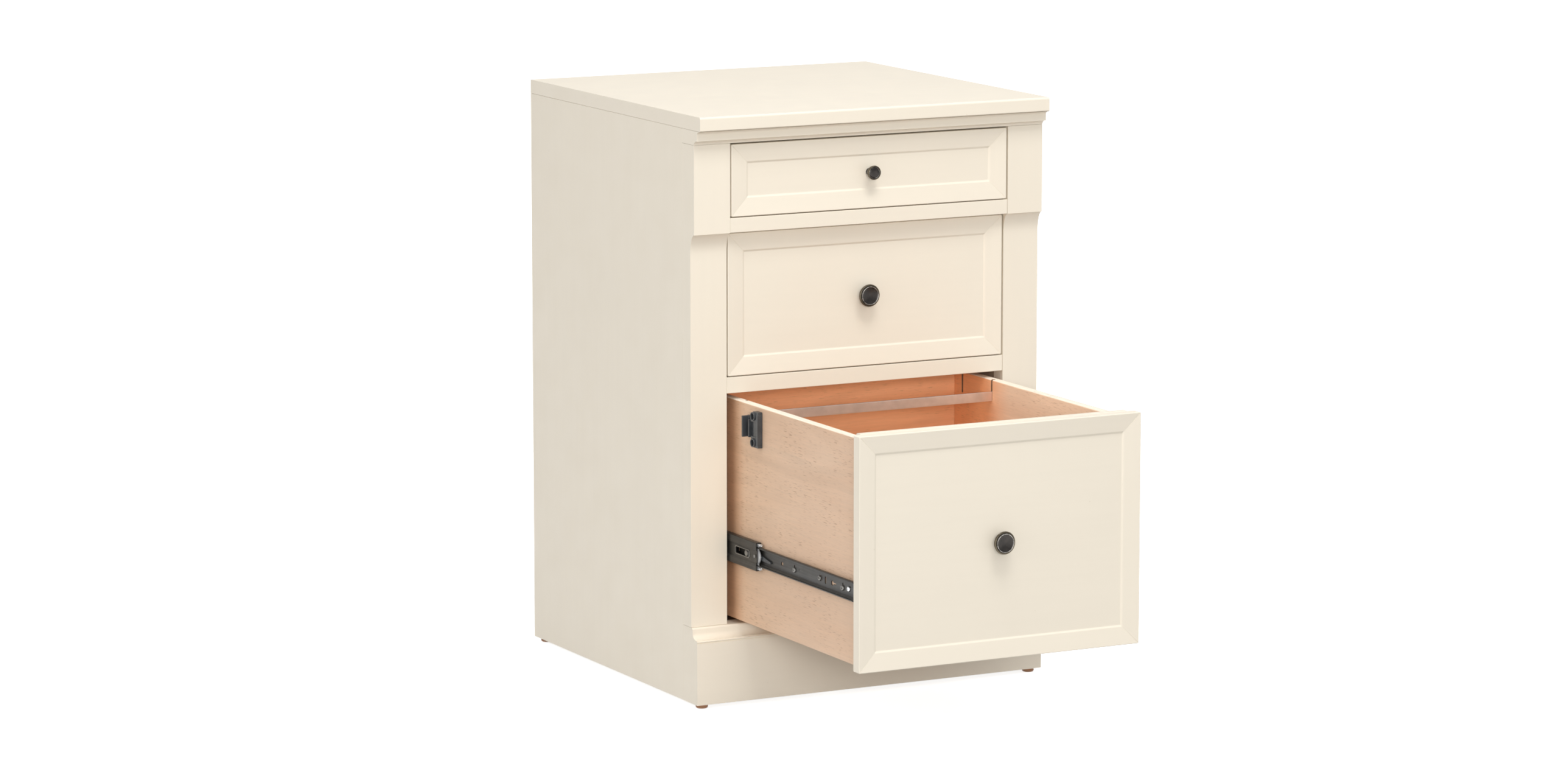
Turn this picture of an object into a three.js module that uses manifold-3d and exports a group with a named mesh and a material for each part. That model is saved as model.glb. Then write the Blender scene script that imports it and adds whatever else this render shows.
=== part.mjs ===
// A painted wooden pedestal cabinet with three drawers: a shallow one, a middle one and a file drawer.
// Each drawer runs on a pair of three-member ball-bearing slides. Millimetres, +Z up, the front faces -Y.
// The cabinet frame has X = 0 on the centre plane, Y = 0 on the face of the lower stiles and Z = 0 at
// the bottom edge of the case; the last lines move the whole group to its origin.
import * as THREE from "three";
import { mergeVertices } from "three/addons/utils/BufferGeometryUtils.js";
import Module from "manifold-3d";

const wasm = await Module();
wasm.setup();

// Driving dimensions of the case.
const CASE_WIDTH = 508;
const CASE_BACK = 476.3; // from the face of the lower stiles to the back edge
const CASE_HEIGHT = 759.1; // to the upper face of the top
const TOP_THICKNESS = 18.2;
const TOP_OVERHANG = 28.7; // in front of the lower stiles
const PANEL = 19; // thickness of the side panels
const BACK_PANEL = 6;
const BACK_INSET = 6;
const STILE_WIDTH = 51.4;
const FRAME_DEPTH = 22.7; // of the face frame, behind the face of the lower stiles
const BLOCK_PROUD = 10.7; // the upper blocks stand this far in front of the lower stiles
const BLOCK_BOTTOM = 607.4;
const BLOCK_COVE = 25.4; // height of the cove under each block
const CROWN_BOTTOM = 722.3;
const BASE_TOP = 99;
const PLINTH_PROUD = 17;
const BOTTOM_PANEL = 12;
const BOTTOM_PANEL_TOP = 87;
const TOUCH = 0.3; // gap left between pieces that touch
const EASE = 3; // rounding of the top's front edges

// Driving dimensions of the drawers. A drawer's own frame has Y = 0 on its face and Z = 0 at the
// bottom edge of its front.
const FRONT_GAP_SIDE = 2;
const FRONT_THICKNESS = 15.9;
const BORDER = 23.5; // width of the sloping border of a front
const BORDER_SINK = 3.2; // the border falls this much towards the panel
const PANEL_SINK = 4.8; // depth of the flat panel below the face
const EDGE = 0.9; // chamfer round a front
const BOX_BOARD = 12;
const BOX_REAR = 451; // outer face of the drawer back behind the face of the front
const BOX_RISE = 4; // underside of the box above the bottom edge of the front
const SIDE_DROP = 6.1; // top edges of the sides and back below the top edge of the front
const SLIDE_SPACE = 12.7; // between a drawer side and the stile's inner edge
const GROOVE_RISE = 10;
const GROOVE_DEPTH = 6;
const DRAWER_BOTTOM = 6;
const FILE_DRAWER_OPEN = 355;

const DRAWERS = [
  { name: "top", low: 627.6, high: 720.3, proud: BLOCK_PROUD, open: 0, slideRise: 38 },
  { name: "middle", low: 421.2, high: 605.3, proud: 0, open: 0, slideRise: 60 },
  { name: "file", low: 101, high: 397.2, proud: 0, open: FILE_DRAWER_OPEN, slideRise: 98.5 },
];

// Slides: cabinet member, intermediate member and drawer member of one pair, seen along their length.
const SLIDE_LENGTH = 406;
const INTERMEDIATE_LENGTH = 350;
const SLIDE_SETBACK = 22.8; // front end of the slide behind the face of the front
const INTERMEDIATE_HOME = 43.2; // how far the intermediate member hides in the closed slide
const INTERMEDIATE_RATIO = 0.4; // travel of the intermediate member per unit of drawer travel
const SHEET = 1.2;
const CABINET_MEMBER = { web: 0.3, lip: 9.6, half: 22.6 };
const INTERMEDIATE_MEMBER = { web: 2.6, lip: 10.4, half: 18.4 };
const DRAWER_MEMBER = { web: 12.4, lip: 5, half: 12.6 };

// Hardware.
const KNOB_SMALL = 9.2; // radius
const KNOB_LARGE = 14.6;
const KNOB_REACH = 15.6; // from the panel of a front to the crown of a knob
const BAR_THICKNESS = 3;
const BAR_HEIGHT = 12.5;
const BAR_BOTTOM = 261.9; // above the bottom edge of the file drawer's front
const LETTER_SLOT = 340.1; // behind the face of the front
const LEGAL_SLOT = 418.1;
const SLOT_WIDTH = 4;
const SLOT_DEPTH = 5;
const STRIKER_CENTRE = 301.3; // behind the face of the front
const STRIKER_DROP = 35; // centre of the striker below the top edge of the front
const LEVELER_RADIUS = 8;
const LEVELER_HEIGHT = 6;
const LEVELER_INSET = 12.6;

// Worked out from the driving dimensions.
const HALF = CASE_WIDTH / 2;
const OPENING_HALF = HALF - STILE_WIDTH;
const BOX_HALF = OPENING_HALF - SLIDE_SPACE;
const UNDER_TOP = CASE_HEIGHT - TOP_THICKNESS - TOUCH;
const BACK_FACE = CASE_BACK - BACK_INSET - BACK_PANEL;
const BAR_HALF = BOX_HALF - BOX_BOARD + SLOT_DEPTH - TOUCH;
const SIDES = [
  ["left", -1],
  ["right", 1],
];

function material(color, roughness, metalness = 0) {
  return new THREE.MeshStandardMaterial({ color, roughness, metalness });
}

const PAINT = material(0xf1e7d4, 0.45);
const MAPLE = material(0xdcb896, 0.5);
const PLYWOOD = material(0xd79a6b, 0.6);
const RAW_BOARD = material(0x8a7a63, 0.8);
const SLIDE_STEEL = material(0x26282a, 0.35, 0.8);
const BRONZE = material(0x3a302b, 0.35, 0.85);
const ALUMINIUM = material(0xb4aaa4, 0.35, 0.9);
const BLACK_PLASTIC = material(0x33373a, 0.5);
const BROWN_PLASTIC = material(0x9a6240, 0.45);

const ALONG_X = new THREE.Matrix4().makeBasis(
  new THREE.Vector3(0, 1, 0),
  new THREE.Vector3(0, 0, 1),
  new THREE.Vector3(1, 0, 0),
);
const ALONG_Y = new THREE.Matrix4().makeBasis(
  new THREE.Vector3(1, 0, 0),
  new THREE.Vector3(0, 0, 1),
  new THREE.Vector3(0, -1, 0),
);

function block(low, high) {
  const size = high.map((value, axis) => value - low[axis]);
  const middle = low.map((value, axis) => value + size[axis] / 2);
  return new THREE.BoxGeometry(...size).translate(...middle);
}

function extrude(outline, length) {
  return new THREE.ExtrudeGeometry(outline, { depth: length, bevelEnabled: false, curveSegments: 6 });
}

// An outline in Y and Z swept from one X to another.
function alongX(outline, from, to) {
  return extrude(outline, to - from).applyMatrix4(ALONG_X).translate(from, 0, 0);
}

// An outline in X and Z swept from one Y to another.
function alongY(outline, from, to) {
  return extrude(outline, to - from).applyMatrix4(ALONG_Y).translate(0, to, 0);
}

function turned(profile, segments) {
  return new THREE.LatheGeometry(profile.map(([r, h]) => new THREE.Vector2(r, h)), segments);
}

function solid(geometry) {
  const bare = geometry.clone();
  bare.deleteAttribute("normal");
  bare.deleteAttribute("uv");
  const merged = mergeVertices(bare, 1e-4);
  return new wasm.Manifold(
    new wasm.Mesh({
      numProp: 3,
      vertProperties: new Float32Array(merged.attributes.position.array),
      triVerts: new Uint32Array(merged.index.array),
    }),
  );
}

function surface(made) {
  const mesh = made.getMesh();
  return new THREE.BufferGeometry()
    .setAttribute("position", new THREE.BufferAttribute(mesh.vertProperties, 3))
    .setIndex(new THREE.BufferAttribute(mesh.triVerts, 1));
}

function cut(geometry, tools) {
  return surface(tools.reduce((left, tool) => left.subtract(solid(tool)), solid(geometry)));
}

function add(group, name, geometry, finish) {
  const mesh = new THREE.Mesh(geometry, finish);
  mesh.name = name;
  group.add(mesh);
  return mesh;
}

// Quarter of an ellipse as outline points, from angle `from` to angle `to` in quarter turns.
function quarter(outline, centreY, centreZ, radiusY, radiusZ, from, to, steps = 6) {
  for (let step = 0; step <= steps; step++) {
    const angle = (Math.PI / 2) * (from + ((to - from) * step) / steps);
    outline.lineTo(centreY + radiusY * Math.cos(angle), centreZ + radiusZ * Math.sin(angle));
  }
}

// The top: a board with its two front edges rounded over.
function topPanel() {
  const low = CASE_HEIGHT - TOP_THICKNESS;
  const outline = new THREE.Shape();
  outline.moveTo(CASE_BACK, low);
  outline.lineTo(CASE_BACK, CASE_HEIGHT);
  quarter(outline, -TOP_OVERHANG + EASE, CASE_HEIGHT - EASE, EASE, EASE, 1, 2, 4);
  quarter(outline, -TOP_OVERHANG + EASE / 2, low + EASE / 2, EASE / 2, EASE / 2, 2, 3, 3);
  return alongX(outline, -HALF, HALF);
}

// The crown under the top: a small cove, a fillet, then a deeper cove down to the plane of the blocks.
function crownRail() {
  const filletProud = 19.7;
  const filletTop = UNDER_TOP - 4.3;
  const filletBottom = CROWN_BOTTOM + 5.6;
  const outline = new THREE.Shape();
  outline.moveTo(FRAME_DEPTH, CROWN_BOTTOM);
  outline.lineTo(FRAME_DEPTH, UNDER_TOP);
  quarter(outline, -TOP_OVERHANG + 0.6, filletTop, TOP_OVERHANG - 0.6 - filletProud, 4.3, 1, 0);
  outline.lineTo(-filletProud, filletBottom);
  quarter(outline, -filletProud, CROWN_BOTTOM, filletProud - BLOCK_PROUD, 5.6, 1, 0);
  return alongX(outline, -HALF, HALF);
}

// A stile: flat below, then a cove out to a block that stands proud up to the crown.
function stile(from, to) {
  const high = CROWN_BOTTOM - TOUCH;
  const low = BASE_TOP + TOUCH;
  const outline = new THREE.Shape();
  outline.moveTo(FRAME_DEPTH, high);
  outline.lineTo(FRAME_DEPTH, low);
  outline.lineTo(0, low);
  quarter(outline, -BLOCK_PROUD, BLOCK_BOTTOM - BLOCK_COVE, BLOCK_PROUD, BLOCK_COVE, 0, 1, 8);
  outline.lineTo(-BLOCK_PROUD, high);
  return alongX(outline, from, to);
}

// The plinth with its cap: a lip, a cove and a bead down to the plinth's face.
function baseBoard() {
  const lip = 3.8;
  const coveTop = BASE_TOP - 7.5;
  const beadTop = BASE_TOP - 14.6;
  const outline = new THREE.Shape();
  outline.moveTo(FRAME_DEPTH, 0);
  outline.lineTo(FRAME_DEPTH, BASE_TOP);
  outline.lineTo(-1, BASE_TOP);
  quarter(outline, -1, BASE_TOP - 2.8, lip - 1, 2.8, 1, 2, 4);
  outline.lineTo(-lip, coveTop);
  quarter(outline, -PLINTH_PROUD + 1.6, coveTop, PLINTH_PROUD - 1.6 - lip, 7.1, 0, -1);
  quarter(outline, -PLINTH_PROUD + 1.6, beadTop - 1.8, 1.6, 1.8, 1, 2, 3);
  outline.lineTo(-PLINTH_PROUD, 0);
  return alongX(outline, -HALF, HALF);
}

function buildCase() {
  const group = new THREE.Group();
  add(group, "top_panel", topPanel(), PAINT);
  add(group, "crown_rail", crownRail(), PAINT);
  add(group, "base_board", baseBoard(), PAINT);
  for (const [side, sign] of SIDES) {
    const outer = sign * HALF;
    const inner = sign * (HALF - PANEL);
    const edge = sign * OPENING_HALF;
    const frameBack = FRAME_DEPTH + TOUCH;
    add(
      group,
      side + "_side_panel",
      block([Math.min(outer, inner), frameBack, 0], [Math.max(outer, inner), CASE_BACK, UNDER_TOP]),
      PAINT,
    );
    add(group, side + "_stile", stile(Math.min(outer, edge), Math.max(outer, edge)), PAINT);
    const spacer = [inner - sign * TOUCH, edge];
    add(
      group,
      side + "_slide_spacer",
      block(
        [Math.min(...spacer), frameBack, BOTTOM_PANEL_TOP + TOUCH],
        [Math.max(...spacer), BACK_FACE - TOUCH, UNDER_TOP],
      ),
      RAW_BOARD,
    );
  }
  const between = OPENING_HALF - TOUCH;
  const [topDrawer, middleDrawer] = DRAWERS;
  const frontReveal = 1.2;
  add(
    group,
    "upper_rail",
    block([-between, -BLOCK_PROUD, BLOCK_BOTTOM], [between, FRAME_DEPTH, topDrawer.low - frontReveal]),
    PAINT,
  );
  add(
    group,
    "lower_rail",
    block([-between, 0, DRAWERS[2].high + 2], [between, FRAME_DEPTH, middleDrawer.low - frontReveal]),
    PAINT,
  );
  const inside = HALF - PANEL - TOUCH;
  add(
    group,
    "bottom_panel",
    block(
      [-inside, FRAME_DEPTH + TOUCH, BOTTOM_PANEL_TOP - BOTTOM_PANEL],
      [inside, BACK_FACE - TOUCH, BOTTOM_PANEL_TOP],
    ),
    RAW_BOARD,
  );
  add(
    group,
    "back_panel",
    block([-inside, BACK_FACE, 2], [inside, BACK_FACE + BACK_PANEL, UNDER_TOP]),
    RAW_BOARD,
  );
  return group;
}

// A drawer front as nested rectangles: back, face, the foot of the sloping border, a step, the panel.
function drawerFront(width, height) {
  const rings = [
    [0, FRONT_THICKNESS],
    [0, EDGE],
    [EDGE, 0],
    [BORDER, BORDER_SINK],
    [BORDER + 2.2, PANEL_SINK],
  ];
  const positions = rings.flatMap(([inset, depth]) => {
    const x = width / 2 - inset;
    return [
      [-x, depth, inset],
      [x, depth, inset],
      [x, depth, height - inset],
      [-x, depth, height - inset],
    ].flat();
  });
  const faces = [0, 2, 1, 0, 3, 2];
  for (let ring = 0; ring + 1 < rings.length; ring++) {
    for (let corner = 0; corner < 4; corner++) {
      const a = ring * 4 + corner;
      const b = ring * 4 + ((corner + 1) % 4);
      faces.push(a, b, b + 4, a, b + 4, a + 4);
    }
  }
  const last = (rings.length - 1) * 4;
  faces.push(last, last + 1, last + 2, last, last + 2, last + 3);
  return new THREE.BufferGeometry()
    .setAttribute("position", new THREE.BufferAttribute(new Float32Array(positions), 3))
    .setIndex(faces);
}

// A knob turned about the drawer's travel: base, neck, rim, groove and domed middle.
function knob(radius) {
  const base = radius * 0.52;
  const rim = KNOB_REACH - 4.6;
  const profile = [
    [0, 0],
    [base, 0],
    [base, 1.2],
    [radius * 0.34, 4.4],
    [radius * 0.42, 7],
    [radius * 0.92, rim - 0.6],
    [radius, rim + 1.2],
    [radius * 0.95, rim + 2.6],
    [radius * 0.84, rim + 3],
    [radius * 0.8, rim + 2.4],
    [radius * 0.72, rim + 3.1],
    [radius * 0.42, KNOB_REACH - 0.4],
    [0, KNOB_REACH],
  ];
  return turned(profile, 24).rotateX(Math.PI);
}

// A sheet-metal channel: a web and two lips, lying beside a drawer on the side given by sign.
function channel({ web, lip, half }, sign, from, to) {
  const inward = (distance) => sign * (OPENING_HALF - distance);
  const fold = lip > web ? SHEET : -SHEET;
  const points = [
    [web, -half],
    [lip, -half],
    [lip, -half + SHEET],
    [web + fold, -half + SHEET],
    [web + fold, half - SHEET],
    [lip, half - SHEET],
    [lip, half],
    [web, half],
  ];
  return alongY(new THREE.Shape(points.map(([x, z]) => new THREE.Vector2(inward(x), z))), from, to);
}

// The catch of the drawer interlock, +X towards the drawer's front and +Z away from the drawer side: a
// ribbed body with two screwed ears, and behind it a flange with the wall that meets the latch.
function striker() {
  const half = 23.2;
  const earFrom = 6;
  const earTo = 20;
  const front = 22;
  const earFoot = 12;
  const flange = { from: -15, to: -1.5, wall: 3.5, low: -13, high: 15 };
  const plate = new THREE.Shape();
  plate.moveTo(front, -half + 2);
  plate.lineTo(earTo, -half);
  plate.lineTo(earFrom + 2, -half);
  plate.lineTo(earFrom, -half + earFoot - 2);
  plate.lineTo(-2, -half + earFoot);
  plate.lineTo(-2, half - earFoot);
  plate.lineTo(earFrom, half - earFoot + 2);
  plate.lineTo(earFrom + 2, half);
  plate.lineTo(earTo, half);
  plate.lineTo(front, half - 2);
  const base = extrude(plate, 7);
  const body = block([-2, -half + 10, 0], [front - 1, half - 10, 9.5]);
  const floor = block([flange.from, flange.low, 0], [flange.to, flange.high, 3]);
  const wall = block([flange.from, flange.low, 0], [flange.from + flange.wall, flange.high, 11]);
  const holes = [-15.5, 15.5].map((rise) =>
    new THREE.CylinderGeometry(2.4, 2.4, 30, 12).rotateX(Math.PI / 2).translate(12, rise, 0),
  );
  const joined = [body, floor, wall].reduce((made, piece) => made.add(solid(piece)), solid(base));
  return surface(holes.reduce((made, hole) => made.subtract(solid(hole)), joined));
}

function buildDrawer({ name, low, high, proud, open, slideRise }) {
  const group = new THREE.Group();
  const height = high - low;
  const sideTop = height - SIDE_DROP;
  const width = 2 * (OPENING_HALF - FRONT_GAP_SIDE);
  const boxFront = FRONT_THICKNESS + TOUCH;
  const sideFront = boxFront + BOX_BOARD + TOUCH;
  const inner = BOX_HALF - BOX_BOARD;
  const grooveLow = BOX_RISE + GROOVE_RISE;
  const grooveHigh = grooveLow + DRAWER_BOTTOM + 2 * TOUCH;
  const grooveReach = GROOVE_DEPTH - TOUCH;
  add(group, name + "_drawer_front", drawerFront(width, height), PAINT);
  for (const [side, sign] of SIDES) {
    const outer = sign * BOX_HALF;
    const board = block(
      [Math.min(outer, sign * inner), sideFront, BOX_RISE],
      [Math.max(outer, sign * inner), BOX_REAR, sideTop],
    );
    const mouth = (depth) => {
      const edges = [sign * (inner - 1), sign * (inner + depth)];
      return [Math.min(...edges), Math.max(...edges)];
    };
    const [grooveFrom, grooveTo] = mouth(GROOVE_DEPTH);
    const tools = [block([grooveFrom, sideFront - 1, grooveLow], [grooveTo, BOX_REAR + 1, grooveHigh])];
    if (name === "file") {
      const [slotFrom, slotTo] = mouth(SLOT_DEPTH);
      for (const slot of [LETTER_SLOT, LEGAL_SLOT]) {
        tools.push(
          block(
            [slotFrom, slot - SLOT_WIDTH / 2, BAR_BOTTOM - TOUCH],
            [slotTo, slot + SLOT_WIDTH / 2, sideTop + 1],
          ),
        );
      }
    }
    add(group, name + "_drawer_" + side + "_side", cut(board, tools), MAPLE);
  }
  const across = inner - TOUCH;
  const front = block([-BOX_HALF, boxFront, BOX_RISE], [BOX_HALF, boxFront + BOX_BOARD, height]);
  const rear = block([-across, BOX_REAR - BOX_BOARD, BOX_RISE], [across, BOX_REAR, sideTop]);
  const frontGroove = boxFront + BOX_BOARD - GROOVE_DEPTH;
  const rearGroove = BOX_REAR - BOX_BOARD + GROOVE_DEPTH;
  const grooveHalf = inner + GROOVE_DEPTH;
  const groove = (from, to) => block([-grooveHalf, from, grooveLow], [grooveHalf, to, grooveHigh]);
  add(group, name + "_drawer_box_front", cut(front, [groove(frontGroove, frontGroove + 30)]), PAINT);
  add(group, name + "_drawer_back", cut(rear, [groove(rearGroove - 30, rearGroove)]), MAPLE);
  add(
    group,
    name + "_drawer_bottom",
    block(
      [-inner - grooveReach, frontGroove + TOUCH, grooveLow + TOUCH],
      [inner + grooveReach, rearGroove - TOUCH, grooveHigh - TOUCH],
    ),
    PLYWOOD,
  );
  const pull = add(
    group,
    name + "_drawer_knob",
    knob(name === "top" ? KNOB_SMALL : KNOB_LARGE),
    BRONZE,
  );
  pull.position.set(0, PANEL_SINK - TOUCH, height / 2);
  if (name !== "top") {
    const catchPlate = add(group, name + "_drawer_interlock_striker", striker(), BLACK_PLASTIC);
    catchPlate.rotation.set(Math.PI / 2, 0, -Math.PI / 2, "ZYX");
    catchPlate.position.set(-BOX_HALF - TOUCH, STRIKER_CENTRE, height - STRIKER_DROP);
  }
  if (name === "file") {
    add(
      group,
      "hanging_file_bar",
      block(
        [-BAR_HALF, LETTER_SLOT - BAR_THICKNESS / 2, BAR_BOTTOM],
        [BAR_HALF, LETTER_SLOT + BAR_THICKNESS / 2, BAR_BOTTOM + BAR_HEIGHT],
      ),
      ALUMINIUM,
    );
  }
  for (const [side, sign] of SIDES) {
    const member = channel(DRAWER_MEMBER, sign, SLIDE_SETBACK, SLIDE_SETBACK + SLIDE_LENGTH);
    const slide = add(group, name + "_slide_" + side + "_drawer_member", member, SLIDE_STEEL);
    slide.position.z = slideRise;
  }
  group.position.set(0, -proud - open, low);
  return group;
}

// The members of a drawer's slides that don't ride with the drawer.
function buildSlides({ name, low, proud, open, slideRise }) {
  const group = new THREE.Group();
  const start = SLIDE_SETBACK - proud;
  const home = start + INTERMEDIATE_HOME - open * INTERMEDIATE_RATIO;
  for (const [side, sign] of SIDES) {
    const fixed = channel(CABINET_MEMBER, sign, start, start + SLIDE_LENGTH);
    add(group, name + "_slide_" + side + "_cabinet_member", fixed, SLIDE_STEEL);
    const middle = channel(INTERMEDIATE_MEMBER, sign, home, home + INTERMEDIATE_LENGTH);
    add(group, name + "_slide_" + side + "_intermediate_member", middle, SLIDE_STEEL);
  }
  group.position.z = low + slideRise;
  return group;
}

// The head of a levelling glide, rounded off below.
function leveler() {
  const profile = [
    [0, -LEVELER_HEIGHT],
    [4.6, -LEVELER_HEIGHT],
    [6.4, -LEVELER_HEIGHT + 0.8],
    [LEVELER_RADIUS - 0.5, -LEVELER_HEIGHT + 2.4],
    [LEVELER_RADIUS, -LEVELER_HEIGHT + 4.2],
    [LEVELER_RADIUS, -TOUCH],
    [0, -TOUCH],
  ];
  return turned(profile, 20).rotateX(Math.PI / 2);
}

function buildLevelers() {
  const group = new THREE.Group();
  const rows = [
    ["front", -PLINTH_PROUD + LEVELER_INSET],
    ["rear", CASE_BACK - LEVELER_INSET],
  ];
  for (const [side, sign] of SIDES) {
    for (const [row, y] of rows) {
      const glide = add(group, row + "_" + side + "_leveler", leveler(), BROWN_PLASTIC);
      glide.position.set(sign * (HALF - LEVELER_INSET), y, 0);
    }
  }
  return group;
}

const cabinet = new THREE.Group();
cabinet.add(buildCase());
cabinet.add(buildLevelers());
for (const drawer of DRAWERS) {
  cabinet.add(buildDrawer(drawer));
  cabinet.add(buildSlides(drawer));
}

// The origin: the middle of the footprint, file drawer included, at the floor.
const foremost = FILE_DRAWER_OPEN + KNOB_REACH - PANEL_SINK + TOUCH;
cabinet.position.set(0, (foremost - CASE_BACK) / 2, LEVELER_HEIGHT);

export default cabinet;
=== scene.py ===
import math

import bmesh
import bpy
from mathutils import Matrix, Vector


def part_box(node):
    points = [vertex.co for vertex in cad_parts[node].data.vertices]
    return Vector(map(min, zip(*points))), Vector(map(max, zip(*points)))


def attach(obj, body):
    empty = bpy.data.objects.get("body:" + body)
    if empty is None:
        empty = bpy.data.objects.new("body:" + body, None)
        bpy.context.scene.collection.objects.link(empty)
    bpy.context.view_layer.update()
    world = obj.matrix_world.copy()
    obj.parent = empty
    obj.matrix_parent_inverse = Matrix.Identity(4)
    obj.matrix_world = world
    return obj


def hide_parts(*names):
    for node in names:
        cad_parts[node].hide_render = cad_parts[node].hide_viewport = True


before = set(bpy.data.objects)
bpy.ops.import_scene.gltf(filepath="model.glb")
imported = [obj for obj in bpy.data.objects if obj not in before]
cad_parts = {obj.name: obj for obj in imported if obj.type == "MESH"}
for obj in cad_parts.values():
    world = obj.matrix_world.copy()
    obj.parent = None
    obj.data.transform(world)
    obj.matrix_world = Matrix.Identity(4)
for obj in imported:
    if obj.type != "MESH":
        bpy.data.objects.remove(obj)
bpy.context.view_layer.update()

# Lengths below are millimetres times MM, in the row frame: +Z up, fronts facing -Y.
MM = 0.001
SIDES = (("left", -1), ("right", 1))
DRAWERS = ("top", "middle", "file")


# ---------------- node helpers

def material(name, roughness, metallic=0.0):
    made = bpy.data.materials.new(name)
    made.use_nodes = True
    shader = made.node_tree.nodes["Principled BSDF"]
    shader.inputs["Roughness"].default_value = roughness
    shader.inputs["Metallic"].default_value = metallic
    return made, made.node_tree, shader


def add_node(tree, kind, values=None, **settings):
    """A shader node; each value is an output to link, or what the input is set to."""
    made = tree.nodes.new("ShaderNode" + kind)
    for key, value in settings.items():
        setattr(made, key, value)
    for key, value in (values or {}).items():
        socket = made.inputs[key]
        if isinstance(value, bpy.types.NodeSocket):
            tree.links.new(value, socket)
        elif socket.type == "RGBA":
            socket.default_value = (*value, 1.0)
        else:
            socket.default_value = value
    return made


def place(tree, scale=(1, 1, 1)):
    """The piece's own coordinates, stretched by scale."""
    where = add_node(tree, "TexCoord")
    mapping = add_node(tree, "Mapping", {"Vector": where.outputs["Object"], "Scale": scale})
    return mapping.outputs["Vector"]


def noise(tree, where, scale, detail=3.0, rough=0.55, distortion=0.0):
    values = {"Vector": where, "Scale": scale, "Detail": detail, "Roughness": rough}
    values["Distortion"] = distortion
    return add_node(tree, "TexNoise", values).outputs["Fac"]


def ramp(tree, factor, *stops):
    """A ramp through (position, tone) stops; a tone is a colour, or a number for a grey."""
    made = add_node(tree, "ValToRGB", {"Fac": factor})
    points = made.color_ramp.elements
    while len(points) < len(stops):
        points.new(0.5)
    for point, (position, tone) in zip(points, stops):
        point.position = position
        point.color = (*(grey(tone) if isinstance(tone, float) else tone), 1.0)
    return made.outputs["Color"]


def grey(value):
    return (value, value, value)


def math_node(tree, operation, a, b):
    return add_node(tree, "Math", {0: a, 1: b}, operation=operation).outputs["Value"]


def mix(tree, factor, a, b, blend="MIX"):
    made = add_node(tree, "Mix", {0: factor, 6: a, 7: b}, data_type="RGBA", blend_type=blend)
    return made.outputs[2]


def feed(tree, shader, colour, roughness=None):
    """Links a colour, and a roughness if it varies, to the shader."""
    tree.links.new(colour, shader.inputs["Base Color"])
    if roughness is not None:
        tree.links.new(roughness, shader.inputs["Roughness"])


def bump(tree, shader, heights, distance):
    """Adds up (height, strength) pairs as one chain of bump nodes."""
    normal = None
    for height, strength in heights:
        made = add_node(tree, "Bump", {"Height": height, "Strength": strength, "Distance": distance})
        if normal is not None:
            tree.links.new(normal, made.inputs["Normal"])
        normal = made.outputs["Normal"]
    tree.links.new(normal, shader.inputs["Normal"])


# ---------------- materials

def painted(name, grain_axis, colour=(0.862, 0.788, 0.664)):
    """Cream satin paint; the wood grain telegraphs through it along grain_axis."""
    made, tree, shader = material(name, 0.42)
    stretch = [16.0, 16.0, 16.0]
    stretch[grain_axis] = 0.7
    broad = noise(tree, place(tree), 5.0, 2.0)
    streak = noise(tree, place(tree, stretch), 6.0, 4.0, 0.6)
    fine = noise(tree, place(tree, [8 * s for s in stretch]), 6.0, 3.0, 0.6)
    peel = noise(tree, place(tree), 700.0, 2.0)
    tone = ramp(tree, broad, (0.3, [c * 0.985 for c in colour]), (0.7, colour))
    shade = ramp(tree, streak, (0.35, 0.992), (0.6, 1.0))
    toned = mix(tree, 1.0, tone, shade, "MULTIPLY")
    specks = add_node(tree, "TexVoronoi", {"Vector": place(tree), "Scale": 26.0})
    speck = ramp(tree, specks.outputs["Distance"], (0.012, (0.86, 0.84, 0.80)), (0.02, 1.0))
    gloss = ramp(tree, noise(tree, place(tree), 30.0, 3.0), (0.3, 0.38), (0.7, 0.47))
    feed(tree, shader, mix(tree, 1.0, toned, speck, "MULTIPLY"), gloss)
    shader.inputs["Specular IOR Level"].default_value = 0.42
    bump(tree, shader, ((streak, 0.04), (fine, 0.03), (peel, 0.03)), 0.4 * MM)
    return made


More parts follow.
